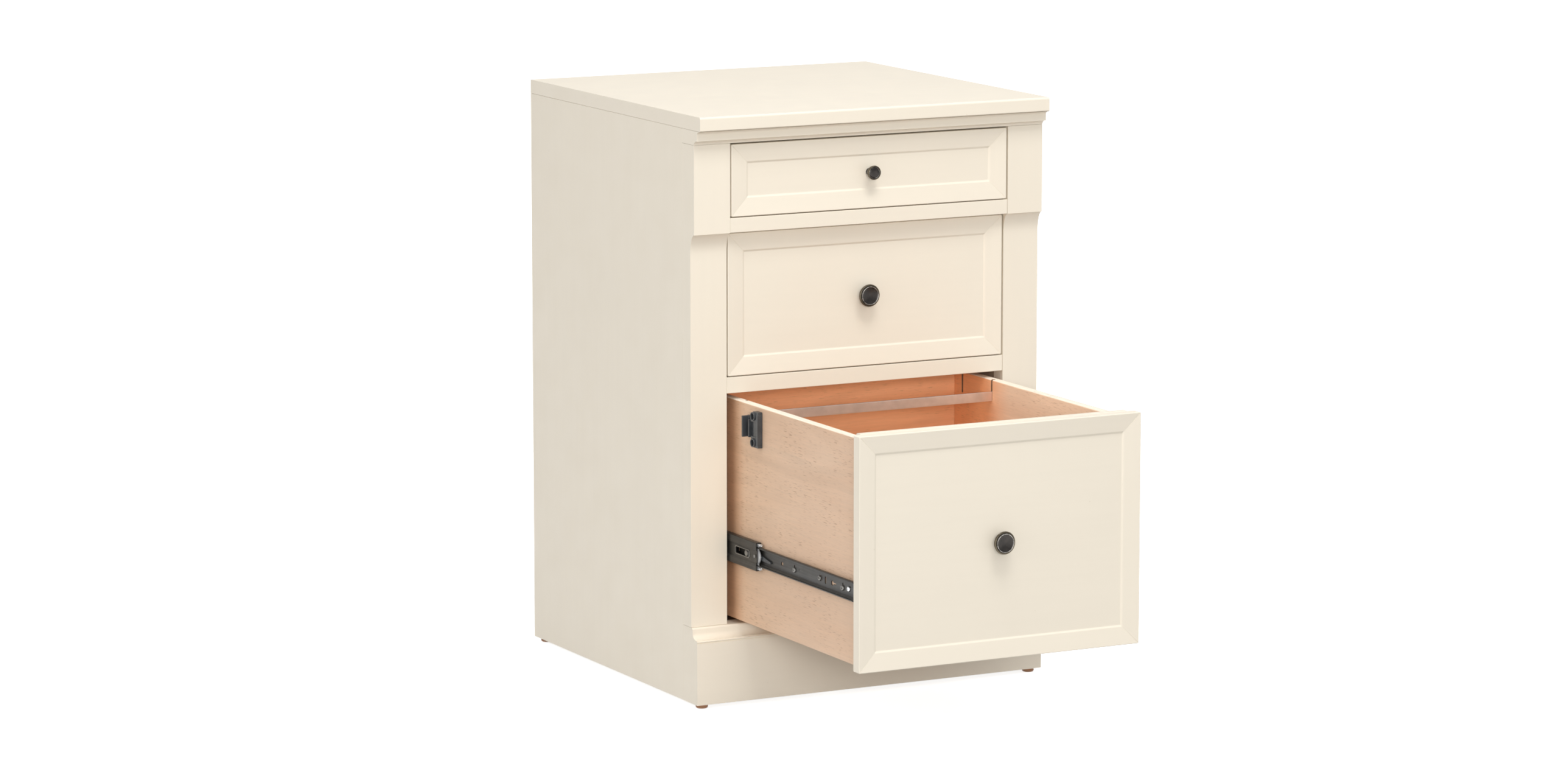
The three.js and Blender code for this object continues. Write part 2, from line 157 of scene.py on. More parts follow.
def maple(name, grain_axis, light, dark, flecks=0.75, deep=None):
    """Lacquered maple: fibres, wide soft figure and short dark flecks along grain_axis.

    deep is painted shade: a third tone, with the places along Y where it begins and where it is full, that
    darkens a board where it runs back into the case's shade.
    """
    made, tree, shader = material(name, 0.48)

    def stretched(across, along):
        scale = [across, across, across]
        scale[grain_axis] = along
        return place(tree, scale)

    warp = noise(tree, stretched(9.0, 1.6), 1.6, 3.0, 0.5, 0.8)
    rings = add_node(tree, "TexWave", {"Vector": stretched(1.0, 0.12), "Scale": 9.0})
    rings.inputs["Distortion"].default_value = 14.0
    rings.inputs["Detail"].default_value = 2.0
    rings.inputs["Detail Scale"].default_value = 1.4
    fibres = noise(tree, stretched(60.0, 2.2), 9.0, 4.0, 0.65)
    base = mix(tree, ramp(tree, warp, (0.3, 0.0), (0.7, 1.0)), light, dark)
    # Painted shade: towards +Y, where the board runs back under the case, the colour turns to the deep
    # tone.
    if deep:
        painted_shade_tone, painted_shade_from, painted_shade_to = deep
        depth = add_node(tree, "SeparateXYZ", {"Vector": place(tree)}).outputs["Y"]
        rear = add_node(
            tree, "MapRange", {"Value": depth, "From Min": painted_shade_from, "From Max": painted_shade_to},
            interpolation_type="SMOOTHSTEP",
        )
        base = mix(tree, rear.outputs["Result"], base, painted_shade_tone)
    figure = ramp(tree, rings.outputs["Fac"], (0.0, 0.94), (0.25, 1.0), (1.0, 0.985))
    base = mix(tree, 1.0, base, figure, "MULTIPLY")
    base = mix(tree, 1.0, base, ramp(tree, fibres, (0.3, 0.94), (0.65, 1.03)), "MULTIPLY")
    dashes = noise(tree, stretched(1000.0, 75.0), 1.0, 1.0, 0.4)
    patches = noise(tree, stretched(30.0, 9.0), 1.0, 2.0)
    fleck = math_node(
        tree, "MULTIPLY",
        ramp(tree, dashes, (0.62, 0.0), (0.70, 1.0)),
        ramp(tree, patches, (0.42, 0.2 * flecks), (0.6, flecks)),
    )
    base = mix(tree, fleck, base, (0.44, 0.25, 0.15))
    feed(tree, shader, base, ramp(tree, fibres, (0.3, 0.44), (0.7, 0.56)))
    shader.inputs["Specular IOR Level"].default_value = 0.4
    bump(tree, shader, ((fibres, 0.12), (rings.outputs["Fac"], 0.05)), 0.3 * MM)
    return made


def raw_board(name, colour, grain_axis=2):
    """Unfinished plywood of the hidden panels."""
    made, tree, shader = material(name, 0.75)
    stretch = [30.0, 30.0, 30.0]
    stretch[grain_axis] = 1.6
    grain = noise(tree, place(tree, stretch), 4.0, 5.0, 0.65)
    cloud = noise(tree, place(tree), 7.0, 3.0)
    tone = ramp(tree, grain, (0.3, [c * 0.72 for c in colour]), (0.7, colour))
    shade = ramp(tree, cloud, (0.3, 0.88), (0.7, 1.05))
    feed(tree, shader, mix(tree, 1.0, tone, shade, "MULTIPLY"))
    bump(tree, shader, ((grain, 0.25),), 0.4 * MM)
    return made


def coated_steel(name, dark, light, metallic):
    """Coated slide steel with faint drawing lines and a cloudy sheen."""
    made, tree, shader = material(name, 0.42, metallic)
    along = noise(tree, place(tree, (420.0, 6.0, 420.0)), 1.0, 3.0)
    cloud = noise(tree, place(tree), 60.0, 3.0)
    tone = ramp(tree, cloud, (0.3, dark), (0.75, light))
    feed(tree, shader, tone, ramp(tree, along, (0.3, 0.34), (0.7, 0.50)))
    bump(tree, shader, ((along, 0.10), (cloud, 0.05)), 0.1 * MM)
    return made


def zinc(name):
    made, tree, shader = material(name, 0.28, 1.0)
    cloud = noise(tree, place(tree), 220.0, 3.0)
    tone = ramp(tree, cloud, (0.3, (0.66, 0.67, 0.68)), (0.7, (0.88, 0.89, 0.90)))
    feed(tree, shader, tone, ramp(tree, cloud, (0.3, 0.22), (0.7, 0.38)))
    return made


def bronze(name, bright_from, bright_to, rim_from):
    """Oil-rubbed bronze: a worn silvery ring between two radii, and an olive-brown rim outside."""
    made, tree, shader = material(name, 0.36, 0.9)
    where = add_node(tree, "TexCoord").outputs["Object"]
    flat = add_node(tree, "VectorMath", {0: where, 1: (1, 0, 1)}, operation="MULTIPLY")
    distance = add_node(tree, "VectorMath", {0: flat.outputs[0]}, operation="LENGTH")
    radius = distance.outputs["Value"]
    outside = math_node(tree, "GREATER_THAN", radius, bright_from)
    inside = math_node(tree, "LESS_THAN", radius, bright_to)
    ring = math_node(tree, "MULTIPLY", outside, inside)
    blotch = noise(tree, where, 340.0, 4.0, 0.65)
    patina = noise(tree, where, 120.0, 3.0)
    worn = math_node(tree, "MULTIPLY", ring, ramp(tree, blotch, (0.38, 0.25), (0.6, 0.9)))
    dark = ramp(tree, patina, (0.3, (0.036, 0.033, 0.031)), (0.7, (0.056, 0.050, 0.046)))
    body = mix(tree, math_node(tree, "GREATER_THAN", radius, rim_from), dark, (0.105, 0.088, 0.062))
    tone = mix(tree, worn, body, (0.66, 0.63, 0.59))
    feed(tree, shader, tone, ramp(tree, blotch, (0.3, 0.27), (0.7, 0.42)))
    bump(tree, shader, ((blotch, 0.12),), 0.1 * MM)
    return made


def aluminium(name):
    """Mill-finish strip with drawing lines along its length."""
    made, tree, shader = material(name, 0.35, 1.0)
    lines = noise(tree, place(tree, (5.0, 900.0, 900.0)), 1.0, 4.0, 0.7)
    cloud = noise(tree, place(tree), 50.0, 3.0)
    tone = ramp(tree, cloud, (0.3, (0.74, 0.66, 0.63)), (0.7, (0.88, 0.78, 0.75)))
    feed(tree, shader, tone, ramp(tree, lines, (0.3, 0.30), (0.7, 0.46)))
    bump(tree, shader, ((lines, 0.15),), 0.05 * MM)
    return made


def moulded(name, dark, light, roughness):
    """Moulded plastic with a fine spark-eroded texture."""
    made, tree, shader = material(name, roughness)
    cloud = noise(tree, place(tree), 90.0, 3.0)
    fine = noise(tree, place(tree), 2600.0, 2.0)
    gloss = ramp(tree, fine, (0.3, roughness - 0.06), (0.7, roughness + 0.08))
    feed(tree, shader, ramp(tree, cloud, (0.3, dark), (0.7, light)), gloss)
    bump(tree, shader, ((fine, 0.12),), 0.06 * MM)
    return made


PAINT_X = painted("cream_paint_across", 0)
PAINT_Y = painted("cream_paint_deep", 1)
PAINT_Z = painted("cream_paint_upright", 2)
# Painted shade of the file drawer's sides where they run back into the case: a dark red-brown outside and a
# deep orange inside, each with where it begins and where it is full along Y.
OUTER_PAINTED_SHADE = ((0.64, 0.38, 0.23), -0.085, -0.050)
INNER_PAINTED_SHADE = ((0.96, 0.47, 0.235), -0.125, -0.045)
# Painted shade: a very dark maple for the walls of the file bar's kerfs; the cutters leave those walls in
# the first finish.
MAPLE_KERF_SHADE = maple("maple_kerf_painted_shade", 0, (0.30, 0.17, 0.10), (0.22, 0.12, 0.07), 0.2)
MAPLE_OUT = maple("maple_outside", 1, (0.80, 0.57, 0.405), (0.74, 0.50, 0.34), 0.7, OUTER_PAINTED_SHADE)
# Painted light: the inside maples are lighter copies of the outside ones, though both faces are one wood.
MAPLE_IN = maple("maple_inside", 1, (0.94, 0.72, 0.54), (0.87, 0.64, 0.47), 0.5, INNER_PAINTED_SHADE)
# Painted highlight: a paler maple for the faces that look up, as if lit strongly from above.
MAPLE_TOP_HIGHLIGHT = maple("maple_upper_edge_highlight", 1, (0.97, 0.87, 0.75), (0.94, 0.80, 0.66), 0.3)
# Painted shade: the file drawer's back is a strong orange for the warm bounced light in the shade inside
# the case.
MAPLE_X_WARM_SHADE = maple("maple_across", 0, (1.0, 0.54, 0.30), (0.95, 0.48, 0.25), 0.4)
PALE_OUT = maple("pale_maple_outside", 1, (0.80, 0.57, 0.405), (0.74, 0.50, 0.34), 0.7)
PALE_IN = maple("pale_maple_inside", 1, (0.94, 0.70, 0.52), (0.87, 0.62, 0.45), 0.5)
PALE_X = maple("pale_maple_across", 0, (0.92, 0.65, 0.46), (0.86, 0.58, 0.39), 0.4)
PLY = maple("drawer_plywood", 0, (0.78, 0.53, 0.35), (0.66, 0.42, 0.25))
INTERIOR = raw_board("interior_board", (0.42, 0.33, 0.24))
STEEL = coated_steel("black_slide_steel", (0.022, 0.0205, 0.0185), (0.040, 0.037, 0.032), 0.25)
# A lighter grey steel: on the window lips and stop tabs it is painted highlight; the rivets and drawer
# screws take it too.
LIGHT_GREY_STEEL = coated_steel("light_grey_slide_steel", (0.16, 0.155, 0.145), (0.26, 0.25, 0.235), 0.7)
# Partly real plating, partly painted highlight: the retainer is made light grey and only partly metallic so
# that its front edge reads as a bright line.
RETAINER_PLATING_HIGHLIGHT = coated_steel("plated_retainer_highlight", (0.60, 0.60, 0.60), (0.82, 0.82, 0.82), 0.45)
ZINC = zinc("zinc_plate")
BAR = aluminium("mill_aluminium")
BLACK = moulded("black_plastic", (0.028, 0.031, 0.034), (0.05, 0.053, 0.056), 0.42)
# Dark grey plastic: the bridge's own colour, and painted highlight on the striker's proud faces.
BRIDGE_GREY_AND_HIGHLIGHT = moulded("dark_grey_plastic", (0.075, 0.078, 0.08), (0.10, 0.103, 0.105), 0.5)
BROWN = moulded("brown_nylon", (0.33, 0.155, 0.075), (0.46, 0.235, 0.125), 0.38)


# ---------------- mesh helpers

def to_object(name, mesh_data, finishes, sharp=32.0, weighted=True):
    """Turns a bmesh into an object with smooth faces, split at edges sharper than `sharp` degrees."""
    bmesh.ops.recalc_face_normals(mesh_data, faces=mesh_data.faces)
    mesh = bpy.data.meshes.new(name)
    mesh_data.to_mesh(mesh)
    mesh_data.free()
    made = bpy.data.objects.new(name, mesh)
    bpy.context.scene.collection.objects.link(made)
    for finish in finishes:
        mesh.materials.append(finish)
    shade(made, sharp, weighted)
    return made


def shade(made, sharp, weighted=True):
    for polygon in made.data.polygons:
        polygon.use_smooth = True
    made.data.set_sharp_from_angle(angle=math.radians(sharp))
    if weighted:
        made.modifiers.new("weights", "WEIGHTED_NORMAL").keep_sharp = True


def fit(made, body, slot_name, *nodes):
    """Puts a finished piece on its body and lets it stand for CAD nodes."""
    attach(made, body)
    if nodes:
        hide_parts(*nodes)
    return made


def bake(made, sharp=32.0, weighted=True):
    """Applies the modifiers of a piece."""
    bpy.context.view_layer.update()
    graph = bpy.context.evaluated_depsgraph_get()
    mesh = bpy.data.meshes.new_from_object(made.evaluated_get(graph))
    made.modifiers.clear()
    made.data = mesh
    shade(made, sharp, weighted)
    return made


def carve(made, cutters, sharp=32.0, weighted=True):
    """Cuts closed meshes out of a piece."""
    made.modifiers.clear()
    for cutter in cutters:
        tool = made.modifiers.new("cut", "BOOLEAN")
        tool.operation = "DIFFERENCE"
        tool.solver = "EXACT"
        tool.object = cutter
    bake(made, sharp, weighted)
    for cutter in cutters:
        bpy.data.objects.remove(cutter)
    return made


def box_mesh(low, high):
    data = bmesh.new()
    bmesh.ops.create_cube(data, size=1.0)
    size = Vector(high) - Vector(low)
    middle = (Vector(high) + Vector(low)) / 2
    for vertex in data.verts:
        vertex.co = Vector(a * b for a, b in zip(vertex.co, size)) + middle
    return data


def soften(data, radius, segments=3, angle=40.0):
    """Rounds the edges of a bmesh that are sharper than angle."""
    sharp = [e for e in data.edges if len(e.link_faces) == 2 and e.calc_face_angle(0) > math.radians(angle)]
    bmesh.ops.bevel(
        data, geom=sharp, offset=radius, offset_type="OFFSET", segments=segments, profile=0.5,
        affect="EDGES", clamp_overlap=True,
    )


def board(name, low, high, radius, finishes):
    data = box_mesh(low, high)
    soften(data, radius)
    return to_object(name, data, finishes, 50.0)


def prism(outline, start, end, axis):
    """A closed prism: outline is pairs of the two other coordinates, swept from start to end on axis."""
    data = bmesh.new()
    others = [a for a in range(3) if a != axis]
    rings = []
    for station in (start, end):
        ring = []
        for pair in outline:
            point = [0.0, 0.0, 0.0]
            point[axis] = station
            point[others[0]], point[others[1]] = pair
            ring.append(data.verts.new(point))
        rings.append(ring)
    count = len(outline)
    data.faces.new(rings[0])
    data.faces.new(list(reversed(rings[1])))
    for i in range(count):
        j = (i + 1) % count
        data.faces.new((rings[0][j], rings[0][i], rings[1][i], rings[1][j]))
    return data


def lathe(name, profile, finishes, segments=72, sharp=35.0):
    """Turns (radius, height) points about the Y axis, heights counted towards -Y."""
    data = bmesh.new()
    rings = []
    for radius, height in profile:
        if radius < 1e-9:
            rings.append([data.verts.new((0, -height, 0))])
            continue
        turn = [2 * math.pi * i / segments for i in range(segments)]
        rings.append([data.verts.new((radius * math.cos(a), -height, radius * math.sin(a))) for a in turn])
    for lower, upper in zip(rings, rings[1:]):
        for i in range(segments):
            j = (i + 1) % segments
            if len(lower) == 1:
                data.faces.new((lower[0], upper[i], upper[j]))
            elif len(upper) == 1:
                data.faces.new((lower[i], upper[0], lower[j]))
            else:
                data.faces.new((lower[i], upper[i], upper[j], lower[j]))
    return to_object(name, data, finishes, sharp, False)


def arc(centre, radii, start, end, steps):
    """Points on an ellipse; start and end are in quarter turns."""
    turns = [start + (end - start) * i / steps for i in range(steps + 1)]
    return [
        (centre[0] + radii[0] * math.cos(t * math.pi / 2), centre[1] + radii[1] * math.sin(t * math.pi / 2))
        for t in turns
    ]


def rounded_outline(half_a, half_b, radius, steps=5):
    radius = max(radius, 0.02 * MM)
    corners = ((1, 1, 0), (-1, 1, 1), (-1, -1, 2), (1, -1, 3))
    points = []
    for sign_a, sign_b, turn in corners:
        centre = (sign_a * (half_a - radius), sign_b * (half_b - radius))
        points += arc(centre, (radius, radius), turn, turn + 1, steps)
    return points


def ring_stack(rings):
    """A closed solid through rings of equal count, capped at both ends."""
    data = bmesh.new()
    made = [[data.verts.new(point) for point in ring] for ring in rings]
    for lower, upper in zip(made, made[1:]):
        for i in range(len(lower)):
            j = (i + 1) % len(lower)
            data.faces.new((lower[i], lower[j], upper[j], upper[i]))
    data.faces.new(list(reversed(made[0])))
    data.faces.new(made[-1])
    return data


def swept(name, outline, start, end, axis, finishes, radius=0.5 * MM):
    """An outline swept along an axis, with its ends and sharp edges eased."""
    data = prism(outline, start, end, axis)
    soften(data, radius, 2, 50.0)
    return to_object(name, data, finishes)


def filleted(points, radius, steps=5):
    """An open line with its corners rounded."""
    points = [Vector(p) for p in points]
    made = [points[0]]
    for before, corner, after in zip(points, points[1:], points[2:]):
        back = (before - corner).normalized()
        ahead = (after - corner).normalized()
        half = back.angle(ahead) / 2
        centre = corner + (back + ahead).normalized() * radius / math.sin(half)
        first = corner + back * radius / math.tan(half) - centre
        last = corner + ahead * radius / math.tan(half) - centre
        for i in range(steps + 1):
            made.append(centre + first.lerp(last, i / steps).normalized() * radius)
    return made + [points[-1]]


def ribbon(points, thickness):
    """The closed outline of bent sheet whose middle line is given."""
    left, right = [], []
    for i, point in enumerate(points):
        before = (point - points[i - 1]).normalized() if i else Vector((0, 0))
        after = (points[i + 1] - point).normalized() if i + 1 < len(points) else Vector((0, 0))
        tangent = (before + after).normalized()
        bend = tangent.dot(after if i == 0 else before)
        side = Vector((-tangent.y, tangent.x)) * thickness / 2 / bend
        left.append(point + side)
        right.append(point - side)
    return left + list(reversed(right))


def circle(centre, radius, steps=28):
    return arc(centre, (radius, radius), 0, 4 - 4 / steps, steps - 1)


def rounded_box(centre, half_a, half_b, radius):
    return [(centre[0] + a, centre[1] + b) for a, b in rounded_outline(half_a, half_b, radius)]


def keyhole(centre, radius, neck, reach, turn):
    """A round hole with a narrow slot; turn is the slot's direction in quarter turns."""
    open_angle = math.asin(neck / radius) / (math.pi / 2)
    points = arc((0, 0), (radius, radius), open_angle, 4 - open_angle, 24)
    points += arc((reach, 0), (neck, neck), -1, 1, 8)
    spin = Matrix.Rotation(turn * math.pi / 2, 2)
    return [Vector(centre) + spin @ Vector(p) for p in points]


def cutter(outline, start, end, axis=0):
    return to_object("cutter", prism(outline, start, end, axis), [], 32.0, False)


def scatter(name, mesh, matrices, finishes, sharp=35.0):
    """One piece made of copies of a mesh."""
    data = bmesh.new()
    for matrix in matrices:
        copy = mesh.copy()
        copy.transform(matrix)
        data.from_mesh(copy)
        bpy.data.meshes.remove(copy)
    return to_object(name, data, finishes, sharp, False)


def append_bmesh(target, source):
    step = bpy.data.meshes.new("step")
    source.to_mesh(step)
    source.free()
    target.from_mesh(step)
    bpy.data.meshes.remove(step)


def taken_mesh(made):
    """The mesh of an object that was only a step on the way."""
    mesh = made.data
    bpy.data.objects.remove(made)
    return mesh


def loose_mesh(name, data):
    return taken_mesh(to_object(name, data, [], 40.0, False))


# ---------------- case

def build_top():
    low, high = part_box("top_panel")
    ease, under = 3 * MM, 1.5 * MM
    outline = [(high.y, low.z), (high.y, high.z)]
    outline += arc((low.y + ease, high.z - ease), (ease, ease), 1, 2, 8)
    outline += arc((low.y + under, low.z + under), (under, under), 2, 3, 5)
    board_top = swept("top_board", outline, low.x, high.x, 0, [PAINT_X], 0.9 * MM)
    fit(board_top, "case", "cream_paint", "top_panel")


def build_crown():
    """A small cove under the top, a fillet, then a cove down to the plane of the blocks."""
    low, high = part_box("crown_rail")
    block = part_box("left_stile")[0].y
    fillet = low.y + 8.4 * MM
    small, deep = 4.3 * MM, 5.6 * MM
    outline = [(high.y, low.z), (high.y, high.z)]
    outline += arc((low.y, high.z - small), (fillet - low.y, small), 1, 0, 10)
    outline += arc((fillet, low.z), (block - fillet, deep), 1, 0, 10)
    crown = swept("crown_moulding", outline, low.x, high.x, 0, [PAINT_X], 0.3 * MM)
    fit(crown, "case", "cream_paint", "crown_rail")


def build_plinth():
    """The base board: a lip, a cove, a fillet and a bead above its flat face."""
    low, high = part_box("base_board")
    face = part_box("lower_rail")[0].y
    lip, lip_round = face - 3.8 * MM, 2.8 * MM
    cove_top, cove = high.z - 7.5 * MM, 7.1 * MM
    bead, fillet, bead_top = 1.0 * MM, 2.2 * MM, high.z - 15.4 * MM
    outline = [(high.y, low.z), (high.y, high.z)]
    outline += arc((lip + lip_round, high.z - lip_round), (lip_round, lip_round), 1, 2, 6)
    outline += arc((low.y + fillet, cove_top), (lip - low.y - fillet, cove), 0, -1, 12)
    outline += [(low.y + fillet, bead_top), (low.y + bead, bead_top)]
    outline += arc((low.y + bead, bead_top - bead), (bead, bead), 1, 3, 8)[1:]
    outline += [(low.y + bead, bead_top - 3.2 * bead), (low.y, bead_top - 3.2 * bead), (low.y, low.z)]
    plinth = swept("plinth", outline, low.x, high.x, 0, [PAINT_X], 0.2 * MM)
    fit(plinth, "case", "cream_paint", "base_board")


def build_stile(side):
    """Flat below; a cove carries it out to the block that stands proud under the crown."""
    low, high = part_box(side + "_stile")
    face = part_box("lower_rail")[0].y
    block_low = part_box("upper_rail")[0].z
    cove = 25.4 * MM
    outline = [(high.y, high.z), (high.y, low.z), (face, low.z)]
    outline += arc((low.y, block_low - cove), (face - low.y, cove), 0, 1, 18)
    outline.append((low.y, high.z))
    stile = swept(side + "_stile_post", outline, low.x, high.x, 0, [PAINT_Z], 0.5 * MM)
    fit(stile, "case", "cream_paint", side + "_stile")


def build_case():
    build_top()
    build_crown()
    build_plinth()
    for side, _ in SIDES:
        build_stile(side)
        panel = board(side + "_side_board", *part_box(side + "_side_panel"), 0.4 * MM, [PAINT_Z])
        fit(panel, "case", "cream_paint", side + "_side_panel")
        spacer = board(side + "_spacer", *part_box(side + "_slide_spacer"), 0.6 * MM, [INTERIOR])
        fit(spacer, "case", "interior_board", side + "_slide_spacer")
    for name in ("upper_rail", "lower_rail"):
        rail = board(name + "_bar", *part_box(name), 0.8 * MM, [PAINT_X])
        fit(rail, "case", "cream_paint", name)
    for name in ("bottom_panel", "back_panel"):
        panel = board(name + "_board", *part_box(name), 0.5 * MM, [INTERIOR])
        fit(panel, "case", "interior_board", name)
    build_case_fixings()
    for node in ("front_left", "rear_left", "front_right", "rear_right"):
        build_leveler(node + "_leveler")


def build_case_fixings():
    """Corner blocks over the levelers, and the screws of the back panel."""
    inside_low, inside_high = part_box("bottom_panel")
    side, tall, cut, gap = 38 * MM, 30 * MM, 14 * MM, 0.4 * MM
    top = inside_low.z - gap
    for name, sign in SIDES:
        for row, corner, turn in (("front", inside_low.y, 1), ("rear", inside_high.y, -1)):
            wall, back = sign * (inside_high.x - gap), corner + turn * gap
            edge = back + turn * side
            outline = [(wall, back), (wall - sign * side, back), (wall - sign * side, edge - turn * cut)]
            outline += [(wall - sign * cut, edge), (wall, edge)]
            block = swept(f"{row}_{name}_corner_block", outline, top - tall, top, 2, [INTERIOR], 1.0 * MM)
            fit(block, "case", "interior_board")
    low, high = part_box("back_panel")
    inset, count = 9 * MM, 5
    places = []
    for i in range(count):
        z = low.z + inset + (high.z - low.z - 2 * inset) * i / (count - 1)
        for x in (low.x + inset, high.x - inset):
            places.append(facing_matrix((x, high.y, z), (0, 1, 0)))
    screws = scatter("back_panel_screws", SCREW, places, [ZINC])
    fit(screws, "case", "slide_steel")


def build_leveler(node):
    low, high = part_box(node)
    radius = (high.x - low.x) / 2
    tall = high.z - low.z
    profile = [(0, 0), (radius - 0.4 * MM, 0), (radius, 0.4 * MM), (radius, tall * 0.32)]
    profile += [(radius - 0.5 * MM, tall * 0.38), (radius - 0.5 * MM, tall * 0.46), (radius, tall * 0.52)]
    profile += arc((radius - 2.6 * MM, tall - 2.6 * MM), (2.6 * MM, 2.6 * MM), 0, 1, 6)
    profile.append((0, tall))
    glide = lathe(node + "_glide", profile, [BROWN], 48, 30.0)
    glide.data.transform(Matrix.Rotation(math.pi / 2, 4, "X"))
    glide.location = ((low.x + high.x) / 2, (low.y + high.y) / 2, high.z)
    fit(glide, node, "brown_plastic", node)


# ---------------- screws

def facing_matrix(point, direction):
    """Moves a screw made about -Y so that its head faces direction at point."""
    turn = Vector((0, -1, 0)).rotation_difference(Vector(direction))
    return Matrix.Translation(point) @ turn.to_matrix().to_4x4()


def make_screw():
    """A pan head of 7 mm with a cross recess; its seat is at the origin and its head faces -Y."""
    radius, tall = 3.5 * MM, 2.0 * MM
    profile = [(0, -1.0 * MM), (1.6 * MM, -1.0 * MM), (1.6 * MM, 0), (radius - 0.15 * MM, 0)]
    profile += arc((radius - 1.2 * MM, 0.35 * MM), (1.2 * MM, tall - 0.35 * MM), 0, 1, 6)
    profile.append((0, tall + 0.12 * MM))
    head = lathe("screw_head", profile, [], 36, 35.0)
    long_half, short_half = 1.9 * MM, 0.42 * MM
    floor, above = -0.7 * MM, -3 * MM
    cuts = []
    for half_x, half_z in ((long_half, short_half), (short_half, long_half)):
        outline = [(-half_x, -half_z), (half_x, -half_z), (half_x, half_z), (-half_x, half_z)]
        cuts.append(cutter(outline, above, floor, 1))
    return taken_mesh(carve(head, cuts, 35.0, False))


SCREW = make_screw()


# ---------------- drawers

def drawer_front(drawer):
    """A face with a sloping border, a small round step, and a flat panel."""
    node = drawer + "_drawer_front"
    low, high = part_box(node)
    width, height, thick = high.x - low.x, high.z - low.z, high.y - low.y
    middle = ((low.x + high.x) / 2, (low.z + high.z) / 2)
    nose, corner = 1.1 * MM, 1.8 * MM
    border, sink, step, fall = 23.5 * MM, 3.2 * MM, 3.4 * MM, 1.6 * MM
    steps = [(1.0 * MM, thick), (0, thick - 1.0 * MM), (0, nose)]
    steps += [(nose - a, nose - b) for a, b in arc((0, 0), (nose, nose), 0, 1, 5)[1:]]
    for i in range(9):
        along = i / 8
        steps.append((border - 1.0 * MM + step * along, sink + fall * (1 - math.cos(math.pi * along)) / 2))
    rings = []
    for inset, depth in steps:
        radius = max(corner - inset, 0.35 * MM)
        outline = rounded_outline(width / 2 - inset, height / 2 - inset, radius)
        rings.append([(middle[0] + x, low.y + depth, middle[1] + z) for x, z in outline])
    data = ring_stack(rings)
    for face in data.faces:
        centre = face.calc_center_median()
        from_side = width / 2 - abs(centre.x - middle[0])
        from_edge = height / 2 - abs(centre.z - middle[1])
        face.material_index = 1 if from_side < from_edge and from_side < border + step else 0
    front = to_object(node + "_board", data, [PAINT_X, PAINT_Z], 32.0)
    cut_mitres(front, middle, width, height, low.y, border, sink)
    fit(front, drawer + "_drawer", "cream_paint", node)


def cut_mitres(front, middle, width, height, face, border, sink):
    """Hairline joints across the corners of the border."""
    wide, deep, above = 0.16 * MM, 0.22 * MM, 1.0 * MM
    slope = sink / border
    tools = []
    for sign_x, sign_z in ((1, 1), (1, -1), (-1, 1), (-1, -1)):
        rings = []
        for inset in (1.2 * MM, border):
            x = middle[0] + sign_x * (width / 2 - inset)
            z = middle[1] + sign_z * (height / 2 - inset)
            y = face + inset * slope
            across = Vector((sign_x, 0, -sign_z)).normalized() * wide * (1 + above / deep)
            centre = Vector((x, y, z))
            up = Vector((0, -above, 0))
            rings.append([centre + Vector((0, deep, 0)), centre + up + across, centre + up - across])
        tools.append(to_object("cutter", ring_stack(rings), [], 32.0, False))
    carve(front, tools)


def box_side(drawer, side, sign):
    """A drawer side with a rounded upper edge and the groove of the bottom."""
    node = f"{drawer}_drawer_{side}_side"
    low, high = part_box(node)
    bottom_low, bottom_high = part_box(drawer + "_drawer_bottom")
    gap, groove, ease, foot = 0.3 * MM, 6 * MM, 2.2 * MM, 0.7 * MM
    inner, outer = (low.x, high.x) if sign > 0 else (high.x, low.x)
    into = sign * groove
    outline = arc((outer - sign * ease, high.z - ease), (sign * ease, ease), 0, 1, 6)
    outline += arc((inner + sign * ease, high.z - ease), (-sign * ease, ease), 1, 0, 6)
    outline += [(inner, bottom_high.z + gap), (inner + into, bottom_high.z + gap)]
    outline += [(inner + into, bottom_low.z - gap), (inner, bottom_low.z - gap)]
    outline += [(inner, low.z + foot), (inner + sign * foot, low.z)]
    outline += [(outer - sign * foot, low.z), (outer, low.z + foot)]
    # Only the file drawer's sides carry the painted shade towards the rear.
    outside, inside = (MAPLE_OUT, MAPLE_IN) if drawer == "file" else (PALE_OUT, PALE_IN)
    finishes = [MAPLE_KERF_SHADE, outside, inside, MAPLE_TOP_HIGHLIGHT]
    made = swept(node + "_board", outline, low.y, high.y, 1, finishes, 0.35 * MM)
    for polygon in made.data.polygons:
        # Painted light: faces that look into the box take the lighter inside maple, the rest take the
        # outside maple.
        inward = polygon.normal.x * sign < -0.2
        # Painted highlight: faces that look up take the paler top maple.
        polygon.material_index = 3 if polygon.normal.z > 0.6 else 2 if inward else 1
    # The kerf walls come out in the first finish, the dark painted shade.
    if drawer == "file":
        carve(made, file_slots(high.z, inner, sign))
    fit(made, drawer + "_drawer", "maple", node)


def file_slots(top, inner, sign):
    """Cutters of the two kerfs that hold the file bar, in the letter and the legal place."""
    bar_low, bar_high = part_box("hanging_file_bar")
    letter = (bar_low.y + bar_high.y) / 2
    legal = letter + 78 * MM
    half, depth, over = 2 * MM, 5 * MM, 1 * MM
    tools = []
    for y in (letter, legal):
        floor = bar_low.z - 0.3 * MM
        outline = arc((y, floor + half), (half, half), 2, 4, 10)
        outline += [(y + half, top + over), (y - half, top + over)]
        start, end = sorted((inner - sign * over, inner + sign * depth))
        tools.append(cutter(outline, start, end))
    return tools


